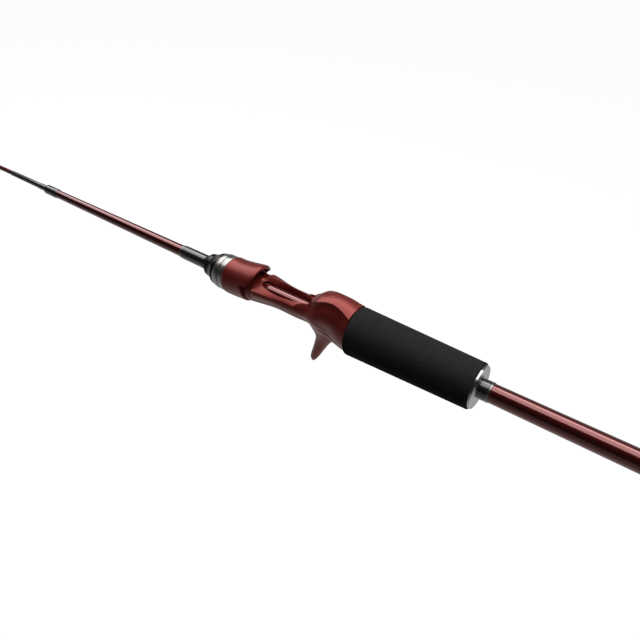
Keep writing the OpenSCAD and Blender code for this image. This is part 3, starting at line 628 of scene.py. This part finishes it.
# The trigger's rows start with the depth below the axis instead, and give the stations of its
# front and rear edges and its half width.
TRIGGER_FRONT = [[4, 34.5], [8, 32.2], [10, 30.5], [12, 28.5], [14, 27.4], [16, 27.1], [18.5, 27.4],
                 [25, 29], [31, 30.7], [34.5, 31.1], [37.5, 30.4]]
TRIGGER_REAR = [[4, 10], [8, 11.2], [12, 13.3], [16, 16], [19, 18.2], [25, 21.6], [31, 24.8],
                [34.5, 26.9], [37.5, 29.5]]
TRIGGER_HALF = [[4, 3.9], [12, 3.9], [16, 3.5], [20, 3.24], [28, 2.88], [34, 2.16], [37.5, 0.3]]

# SHOULDER: angle of the fixed hood's crisp shoulder over the horizontal, in degrees. DECK and
# DECK_ARCH: height of the deck between the shoulders, and its arch. SCOOP: hollow below them.
SHOULDER = [[0, 58], [2, 61.5], [4, 64.8], [7, 68.3], [10, 70.5], [13, 71], [16.5, 69.2], [20, 65.5],
            [24, 63], [26, 64], [28, 65], [30, 63.7], [32, 58.1], [34, 52.2], [36, 47.5], [76, 47.5]]
DECK = [[0, 14.3], [2, 14.6], [4, 15.3], [7, 16.1], [11, 16.6], [15, 16.6], [18, 16.2], [20, 15.7],
        [22, 15.1], [24, 14], [26, 12.3], [27, 11.6], [28, 11.2], [28.4, 11], [29, 9.7], [30, 9.3],
        [32, 8.4], [34, 7.6], [36, 7], [76, 7]]
DECK_ARCH = 16
SCOOP = [[0, 0.3], [4, 1.1], [9, 1.5], [16, 1.35], [22, 1], [28, 0.6], [34, 0.3], [42, 0.08], [50, 0],
         [76, 0]]


def arc_radius(el, crown, arch):
    """Radius at angle el of an arc of radius `arch` whose top is at height `crown`: with k the
    height of the arc's centre, k sin(el) + sqrt(arch^2 - (k cos(el))^2), and the sine rounded off
    to stay above zero where the centre is over the axis."""
    sin, cos = np.sin(np.radians(el)), np.cos(np.radians(el))
    k = crown - arch
    lift = np.where(k < 0, sin, (sin + np.sqrt(sin * sin + 0.15)) / 2)
    return k * lift + np.sqrt(arch**2 - (k * cos)**2)


def body_radius(x, el):
    """Rounded body: the lesser of an arched top and flared sides, joined by a high power over the
    corner between them, less a bell-shaped hollow 2.2 mm deep for the thumb on each flank."""
    top = arc_radius(el, smooth_at(x, CROWN), smooth_at(x, ARCH))
    side = smooth_at(x, BELLY) + smooth_at(x, WING) * ease((el + 22) / 42)
    hollow = 2.2 * np.exp(-((x - 13) / 7.5)**2 - ((el - 2) / 30)**2)
    return (top**-26 + side**-26)**(-1 / 26) - hollow


def seat_radius(x, a):
    """Radius of the seat at station x and angle a. Over the fixed hood a flatter deck runs out to
    a crisp shoulder. With u the angle below it over 25 degrees, the flank comes back to the body
    by exp(-4 u), less a scoop of u * exp(1 - u). Deck and shoulder run out over the bed."""
    el = np.degrees(np.arcsin(np.clip(np.sin(a), -1, 1)))
    line = smooth_at(x, SHOULDER)
    u = np.maximum(line - el, 0) / 25
    body = body_radius(x, el) - smooth_at(x, SCOOP) * u * np.exp(1 - u)
    crown = smooth_at(x, DECK)
    step = arc_radius(line, crown, DECK_ARCH) - body_radius(x, line)
    flank = body + step * np.exp(-4 * u)
    shaped = np.where(el >= line - 1e-6, arc_radius(el, crown, DECK_ARCH), flank)
    return shaped + (body - shaped) * ease((x - 32) / 6)


def seat_skin():
    """Skin of the seat, with a column of points along each shoulder so that it stays crisp."""
    x = np.concatenate([np.linspace(0, 24, 64)[:-1], np.linspace(24, 36, 56)[:-1],
                        np.linspace(36, 67.4, 64), np.linspace(67.5, 67.7, 4),
                        np.linspace(68, SEAT_LEN, 12)])[:, None]
    line = np.radians(smooth_at(x, SHOULDER))
    over, under = np.linspace(0, 1, 60, endpoint=False), np.linspace(0, 1, 200, endpoint=False)
    a = np.concatenate([line + (math.pi - 2 * line) * over,
                        math.pi - line + (math.pi + 2 * line) * under], 1)
    xx = np.broadcast_to(x, a.shape)
    r = seat_radius(xx, a)
    return lofted("reel_seat", np.stack([seat_x + xx, r * np.cos(a), r * np.sin(a)], -1))


def trigger_half(x, d):
    """Half width of the trigger at depth d below the axis, with a fillet into the body's sides
    that dies out as exp(-(depth past 0.66 of the belly) / 4.2)."""
    belly = smooth_at(x, BELLY)
    fillet = (0.75 * belly - TRIGGER_HALF[0][1]) * np.exp(-np.maximum(d - 0.66 * belly, 0) / 4.2)
    return smooth_at(d, TRIGGER_HALF) + fillet


def trigger():
    """Finger trigger: an oval at each depth below the axis, between its front and rear edges. The
    depths close up towards the tip as a cosine does."""
    tip, tip_len = 37.5, 3.5
    turn = np.linspace(0, math.pi / 2, 16)
    d = np.concatenate([np.linspace(3, tip - tip_len, 90)[:-1], tip - tip_len * np.cos(turn)])
    d[-1] = tip - 0.05
    a = np.linspace(0, TURN, 96, endpoint=False)
    f, b = smooth_at(d, TRIGGER_FRONT), smooth_at(d, TRIGGER_REAR)
    x = ((f + b) / 2)[:, None] + ((f - b) / 2)[:, None] * np.cos(a)
    y = -trigger_half(x, d[:, None]) * np.sin(a)
    return lofted("trigger", np.stack([seat_x + x, y, np.broadcast_to(-d[:, None], x.shape)], -1))


def foot_way():
    """Way of the reel foot: a floor on the bed's arch, bed - arch + sqrt(arch^2 - y^2), under a
    flat roof. It is narrow in the fixed hood and opens out over the bed."""
    wide = BODY_R + 2.2
    cheeks = np.array([[-15, 5.2], [3, 5.2], [4, 5.25], [5, 5.4], [6, 5.7], [7, 6.2], [8, 7],
                       [9, 8.1], [10, 9.5]])
    bed = np.append(np.linspace(MOUTH + 11, SEAT_LEN, 40), cone_x0 + 1 - seat_x)
    x = np.append(MOUTH + cheeks[:, 0], bed)[:, None]
    half = np.append(cheeks[:, 1], np.full(len(bed), wide))[:, None]
    arch = smooth_at(x, BED_ARCH)
    floor_y, roof_y = half * np.linspace(-1, 1, 49), half * np.array([1, -1])
    floor_z = BED - arch + np.sqrt(arch**2 - floor_y**2)
    y = np.concatenate([floor_y, roof_y], 1)
    z = np.concatenate([floor_z, np.full(roof_y.shape, BED + POCKET_H)], 1)
    return lofted("way", np.stack([np.broadcast_to(seat_x + x, y.shape), y, z], -1))


def window():
    """Opening over the blank, with a sloping lip: y is the half width times
    sin(a) |sin(a)|^0.15 (1 + 0.2 cos(a)), a long oval that is wider towards the tip."""
    middle, half_len, half_w, lip = 48.5, 18, 6, 1.5
    a = np.linspace(0, TURN, 120, endpoint=False)
    levels = np.array([[-1.2, -0.5], [0, 2.5], [0, BED - lip], [lip, BED], [lip, 14.1]])
    grow = levels[:, 0][:, None]
    x = seat_x + middle + (half_len + grow) * np.cos(a)
    y = (half_w + grow) * np.sin(a) * (1 + 0.2 * np.cos(a)) * (np.abs(np.sin(a)) + 0.001)**0.15
    return lofted("window", np.stack([x, y, np.broadcast_to(levels[:, 1][:, None], x.shape)], -1))


def blend_trigger(seat):
    """Smooths the corner between trigger and belly. Each point counts as exp(-(g / blend)^2),
    with g^2 the sum of the squares of its gaps to the belly and to the trigger's side."""
    mesh = seat.data
    spots = np.empty(3 * len(mesh.vertices), np.float32)
    mesh.vertices.foreach_get("co", spots)
    x, y, z = spots.reshape(-1, 3).T / MM
    x, d = x - seat_x, -z
    belly = smooth_at(x, BELLY)
    front, rear = smooth_at(d, TRIGGER_FRONT), smooth_at(d, TRIGGER_REAR)
    along = np.clip((2 * x - front - rear) / (front - rear), -1, 1)
    side = trigger_half(x, d) * np.sqrt(1 - along**2)
    past = np.maximum(0, np.maximum(x - front, rear - x))
    gap = np.hypot(np.abs(y) - side, past)
    root = np.exp(-((np.hypot(y, z) - belly) / ROOT_BLEND)**2 - (gap / ROOT_BLEND)**2)
    weight = np.where(d > 3, root, 0)
    group = seat.vertex_groups.new(name="root")
    for level in range(1, 11):
        chosen = np.flatnonzero(np.round(weight * 10) == level)
        group.add(chosen.tolist(), level / 10, "REPLACE")
    step = seat.modifiers.new("blend", "SMOOTH")
    step.factor, step.iterations, step.vertex_group = 0.5, 40, "root"
    return settle(seat)


def reel_seat():
    """Skin, trigger and barrel in one, with the foot's way, the window and the bore cut out."""
    seat = seat_skin()
    carve(seat, trigger(), "UNION")
    blend_trigger(seat)
    carve(seat, rod_of("barrel", seat_x + SEAT_LEN - 0.5, cone_x0, BARREL_R), "UNION")
    carve(seat, foot_way())
    carve(seat, window())
    carve(seat, rod_of("bore", seat_x - 1, cone_x0 + 1, SEAT_BORE_R))
    shade(seat, 24)
    return dress(seat, seat_paint, "handle", "seat", "reel_seat_body")


reel_seat()
paint("seat_arbor_rear", arbor_foam)
paint("seat_arbor_front", arbor_foam)


# ---------------------------------------------------------------- moving hood, rings and cone

HOOD_R = 11.6
ROOF_H = 14.1  # height of the visor's roof at the rear
LIFT = 0.9  # height of that roof's centre over the rod's axis
RIM = 2.3  # width of the round-over along the visor's edge
ROOF_WALL = 1.2
SLIDE_R = 9.25  # bore of the collar and its ring, clear of the barrel
SKIRT_R = 9.95  # bore of the skirt, clear of the body behind the barrel

# Heights, and how far the hood's rear edge lies ahead of the visor's rearmost point there.
VISOR_EDGE = np.array([[5.2, 7.2], [5.25, 4], [5.5, 3.2], [6, 2.6], [7.4, 1.9], [8.8, 1.3], [10, 0.75],
                       [11, 0.35], [12.6, 0.04], [14, 0]])


def visor_edge(z):
    """Station of the visor's rear edge at height z."""
    return hood_rear + np.interp(z, VISOR_EDGE[:, 0], VISOR_EDGE[:, 1])


def hood_radius(x, a, droop):
    """Outside of the moving hood: round at its front, with a roof that rises towards its rear
    and rolls over along the visor's edge by droop * (1 - sqrt(1 - 0.96 (1 - edge)^2)), where
    edge is the distance from the visor's edge over the rim's width."""
    u = ease((hood_front - x - 3) / 23.7)
    sin, cos = np.sin(a), np.cos(a)
    el = np.degrees(np.arcsin(np.clip(sin, -1, 1)))
    roof = HOOD_R + (ROOF_H - LIFT - HOOD_R) * u
    k = LIFT * u
    top = k * sin + np.sqrt(roof**2 - (k * cos)**2)
    nose = 0.5 * np.maximum(0, 1 - (hood_front - x) / 1.2)**2
    edge = np.clip((x - visor_edge(ROOF_H * sin)) / RIM, 0, 1)
    tail = droop * (1 - np.sqrt(1 - 0.96 * (1 - edge)**2)) * ease((el - 15) / 12)
    low = HOOD_R - 1.15 * u
    return low + (top - low) * ease((el + 35) / 50) - nose - tail


def hood_skin(name, x, inset, droop):
    """Skin of the hood over those stations, drawn in by the inset."""
    a = np.linspace(0, TURN, 192, endpoint=False)
    xx, aa = np.meshgrid(x, a, indexing="ij")
    r = hood_radius(xx, aa, droop) - inset
    return lofted(name, np.stack([xx, r * np.cos(aa), r * np.sin(aa)], -1))


def prism(name, outline, y0, y1):
    """Outline of [x, z] carried across the rod from y0 to y1."""
    p = np.asarray(outline, float)
    ring = np.stack([p[:, 0], 0 * p[:, 0], p[:, 1]], -1)
    return lofted(name, np.stack([ring + [0, y0, 0], ring + [0, y1, 0]]))


def under_roof():
    """Room for the reel foot: the hood's skin drawn in by the roof's wall, kept above the skirt
    and between two upright cheeks."""
    rear, front = hood_rear - 1, hood_front - 6
    low, high, half = 5, 30, 8.3
    space = hood_skin("space", np.linspace(rear, front, 60), ROOF_WALL, 2.1)
    keep = prism("keep", [[rear - 1, low], [front + 1, low], [front + 1, high], [rear - 1, high]],
                 -half, half)
    return carve(space, keep, "INTERSECT")


def side_cut():
    """The hood's rear edge seen from the side: square below, sweeping back under the visor."""
    z = np.append(VISOR_EDGE[:2, 0], np.linspace(5.3, VISOR_EDGE[-1, 0], 50))
    far, clear = 40, 20
    skirt_x = visor_edge(VISOR_EDGE[0, 0])
    outline = np.concatenate([[[skirt_x, -clear]], np.stack([visor_edge(z), z], -1),
                              [[hood_rear, clear], [hood_rear - clear, clear],
                               [hood_rear - clear, -clear]]])
    return prism("side", outline, -far, far)


def moving_hood():
    """Skin of the hood, bored for barrel and body, hollowed under the roof, its rear edge cut."""
    x = np.concatenate([np.linspace(hood_rear, hood_rear + 10, 50)[:-1],
                        np.linspace(hood_rear + 10, hood_front - 1.2, 30)[:-1],
                        np.linspace(hood_front - 1.2, hood_front, 10)])
    hood = hood_skin("sliding_hood", x, 0, 2)
    carve(hood, rod_of("skirt", hood_rear - 1, hood_front - 4, SKIRT_R))
    carve(hood, rod_of("collar", hood_rear - 2, hood_front + 1, SLIDE_R))
    carve(hood, under_roof())
    carve(hood, side_cut())
    shade(hood, 34)
    return dress(hood, seat_paint, "hood", "seat", "moving_hood")


def hood_ring():
    """Metal ring with rounded edges on the front of the hood."""
    x0, x1, r = span("hood_ring")
    outline = rounded([[x0, SLIDE_R], [x0, r], [x1, r], [x1, SLIDE_R]], 0.3)
    return dress(turned("hood_ring_brushed", outline, 160), brushed, "hood", "alloy", "hood_ring")


def lock_nut():
    """Turned ring with a narrow step at its rear and a bevel to its front."""
    x0, x1, r = span("lock_nut")
    bore, step = BARREL_R + 0.1, 0.5
    outline = rounded([[x0, bore], [x0, r - 0.7], [x0 + step, r - 0.7], [x0 + step, r], [x1 - 2.2, r],
                       [x1 - 0.1, 10.6], [x1, bore]], 0.2)
    return dress(turned("lock_nut_brushed", outline, 160), brushed, "nut", "alloy", "lock_nut")


def front_cone():
    """Stepped black cone ahead of the nut: an outline in shares of its length and of its fall
    from the greatest radius to the small one, with rounded corners."""
    small = blank_radius(cone_x1) + 0.9
    p = np.array([[0, 1], [0.14, 0.95], [0.2, 0.86], [0.26, 0.76], [0.33, 0.67], [0.42, 0.57],
                  [0.45, 0.5], [0.6, 0.46], [0.74, 0.4], [0.77, 0.3], [0.84, 0.08], [1, 0]])
    outer = np.stack([cone_x0 + (cone_x1 - cone_x0) * p[:, 0], small + (cone_r - small) * p[:, 1]], -1)
    outline = rounded(np.concatenate([outer, bore_at(cone_x1, cone_x0)]), 0.5)
    return dress(turned("front_cone_black", outline, 160), black_gloss, "handle", "wrap", "front_cone")


moving_hood()
hood_ring()
lock_nut()
front_cone()
paint("hood_cushion", rubber)


# ---------------------------------------------------------------- guides

GUIDE_FINISHES = {"frame": guide_steel, "ring": ceramic, "wrap": thread}

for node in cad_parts:
    if node.startswith(("guide_", "tip_top_")):
        paint(node, GUIDE_FINISHES[node.rsplit("_", 1)[1]])


# ---------------------------------------------------------------- floor and light

def ramp(tree, value, start, end, before, after):
    """`before` up to `start`, `after` from `end` on, and a smooth change between."""
    node = tree.nodes.new("ShaderNodeMapRange")
    node.interpolation_type = "SMOOTHSTEP"
    for label, number in (("From Min", start), ("From Max", end), ("To Min", before),
                          ("To Max", after)):
        node.inputs[label].default_value = number
    link(tree, value, node.inputs["Value"])
    return node.outputs[0]


def axes_of(tree, output):
    """Separated X, Y and Z of a texture coordinate."""
    split = tree.nodes.new("ShaderNodeSeparateXYZ")
    link(tree, tree.nodes.new("ShaderNodeTexCoord").outputs[output], split.inputs[0])
    return split.outputs


def seen(tree, level, mirrored):
    """Strength of the background: `level` straight to the camera, and `mirrored`, which may be a
    socket, in gloss and through glass."""
    rays = tree.nodes.new("ShaderNodeLightPath")
    through = math_node(tree, "MAXIMUM", rays.outputs["Is Glossy Ray"],
                        rays.outputs["Is Transmission Ray"])
    direct = math_node(tree, "MULTIPLY", rays.outputs["Is Camera Ray"], level)
    return math_node(tree, "ADD", direct, math_node(tree, "MULTIPLY", through, mirrored))


def floor():
    """Plain pale floor, which shows as white to the camera and keeps the object's shadow. In
    reflections it is a light grey behind the rod and falls off towards the viewer's side."""
    size, drop = 12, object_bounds()[0].z - 0.35
    mesh = bpy.data.meshes.new("pale_floor")
    mesh.from_pydata([(-size, -size, drop), (size, -size, drop), (size, size, drop),
                      (-size, size, drop)], [], [(0, 1, 2, 3)])
    piece = bpy.data.objects.new("pale_floor", mesh)
    bpy.context.scene.collection.objects.link(piece)
    material = bpy.data.materials.new("pale_floor")
    material.use_nodes = True
    tree = material.node_tree
    shader = tree.nodes["Principled BSDF"]
    shader.inputs["Base Color"].default_value = (0.1, 0.1, 0.1, 1)
    shader.inputs["Roughness"].default_value = 0.9
    shader.inputs["Specular IOR Level"].default_value = 0
    shader.inputs["Emission Color"].default_value = (1, 1, 1, 1)
    mirrored = ramp(tree, axes_of(tree, "Object")["Y"], -0.1, 0.7, 0.36, 0.12)
    link(tree, seen(tree, 0.97, mirrored), shader.inputs["Emission Strength"])
    mesh.materials.append(material)


def soft_strip(name, tilt, width, energy):
    """Long lamp along the rod, 0.95 m from it, tilted that many degrees from overhead to behind."""
    tilt, length, middle_x, away = math.radians(tilt), 3.0, 0.6, 0.95
    lamp = bpy.data.lights.new(name, "AREA")
    lamp.shape, lamp.size, lamp.size_y, lamp.energy = "RECTANGLE", length, width, energy
    strip = bpy.data.objects.new(name, lamp)
    bpy.context.scene.collection.objects.link(strip)
    strip.location = (middle_x, -away * math.sin(tilt), away * math.cos(tilt))
    strip.rotation_euler.x = tilt


def light():
    """A wide soft strip over the rod, a narrow one behind it, and a dim surrounding that shows as
    white to the camera."""
    soft_strip("wide_strip", 11, 1.0, 16)
    soft_strip("core_strip", 31, 0.3, 4.5)
    world = bpy.data.worlds.new("surround")
    bpy.context.scene.world = world
    world.use_nodes = True
    tree = world.node_tree
    back = tree.nodes["Background"]
    back.inputs["Color"].default_value = (1, 1, 1, 1)
    fill = 0.02
    behind = ramp(tree, axes_of(tree, "Generated")["Y"], -0.95, -0.6, 0.15, 0.0)
    link(tree, math_node(tree, "ADD", seen(tree, 1 - fill, behind), fill), back.inputs["Strength"])


floor()
light()
bpy.context.scene.view_settings.view_transform = "Standard"
